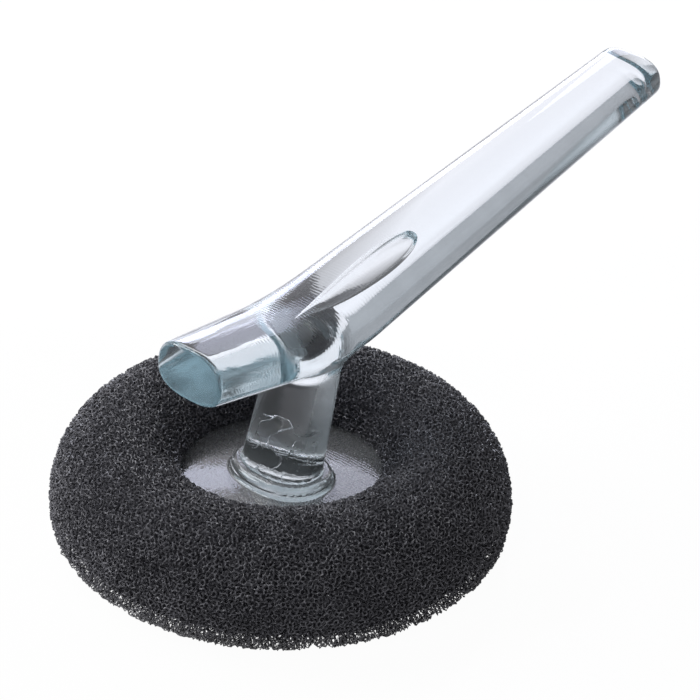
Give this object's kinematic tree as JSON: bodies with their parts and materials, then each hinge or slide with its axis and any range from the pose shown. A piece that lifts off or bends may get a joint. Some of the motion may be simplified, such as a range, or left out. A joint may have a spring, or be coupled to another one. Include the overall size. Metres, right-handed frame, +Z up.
{
  "type": "bath scrubber",
  "caption": "Round open-cell foam bath scrubber with a clear plastic slanting handle that stands on a clear plate inside the pad.",
  "frame": {"origin": "centre of the foam pad's flat underside", "axes": "+Z up out of the pad, +X along the ground towards the end of the long grip, +Y across the handle"},
  "size_m": [0.2338, 0.14, 0.1112],
  "materials": {
    "black_foam": "open-cell reticulated polyurethane foam, matt black",
    "clear_plate": "clear moulded plastic, polished, faint blue-green tint",
    "clear_handle": "clear moulded plastic, polished, faint blue-green tint"
  },
  "bodies": {
    "root": {"foam_pad": "black_foam", "backing_plate": "clear_plate", "handle": "clear_handle"}
  },
  "joints": []
}
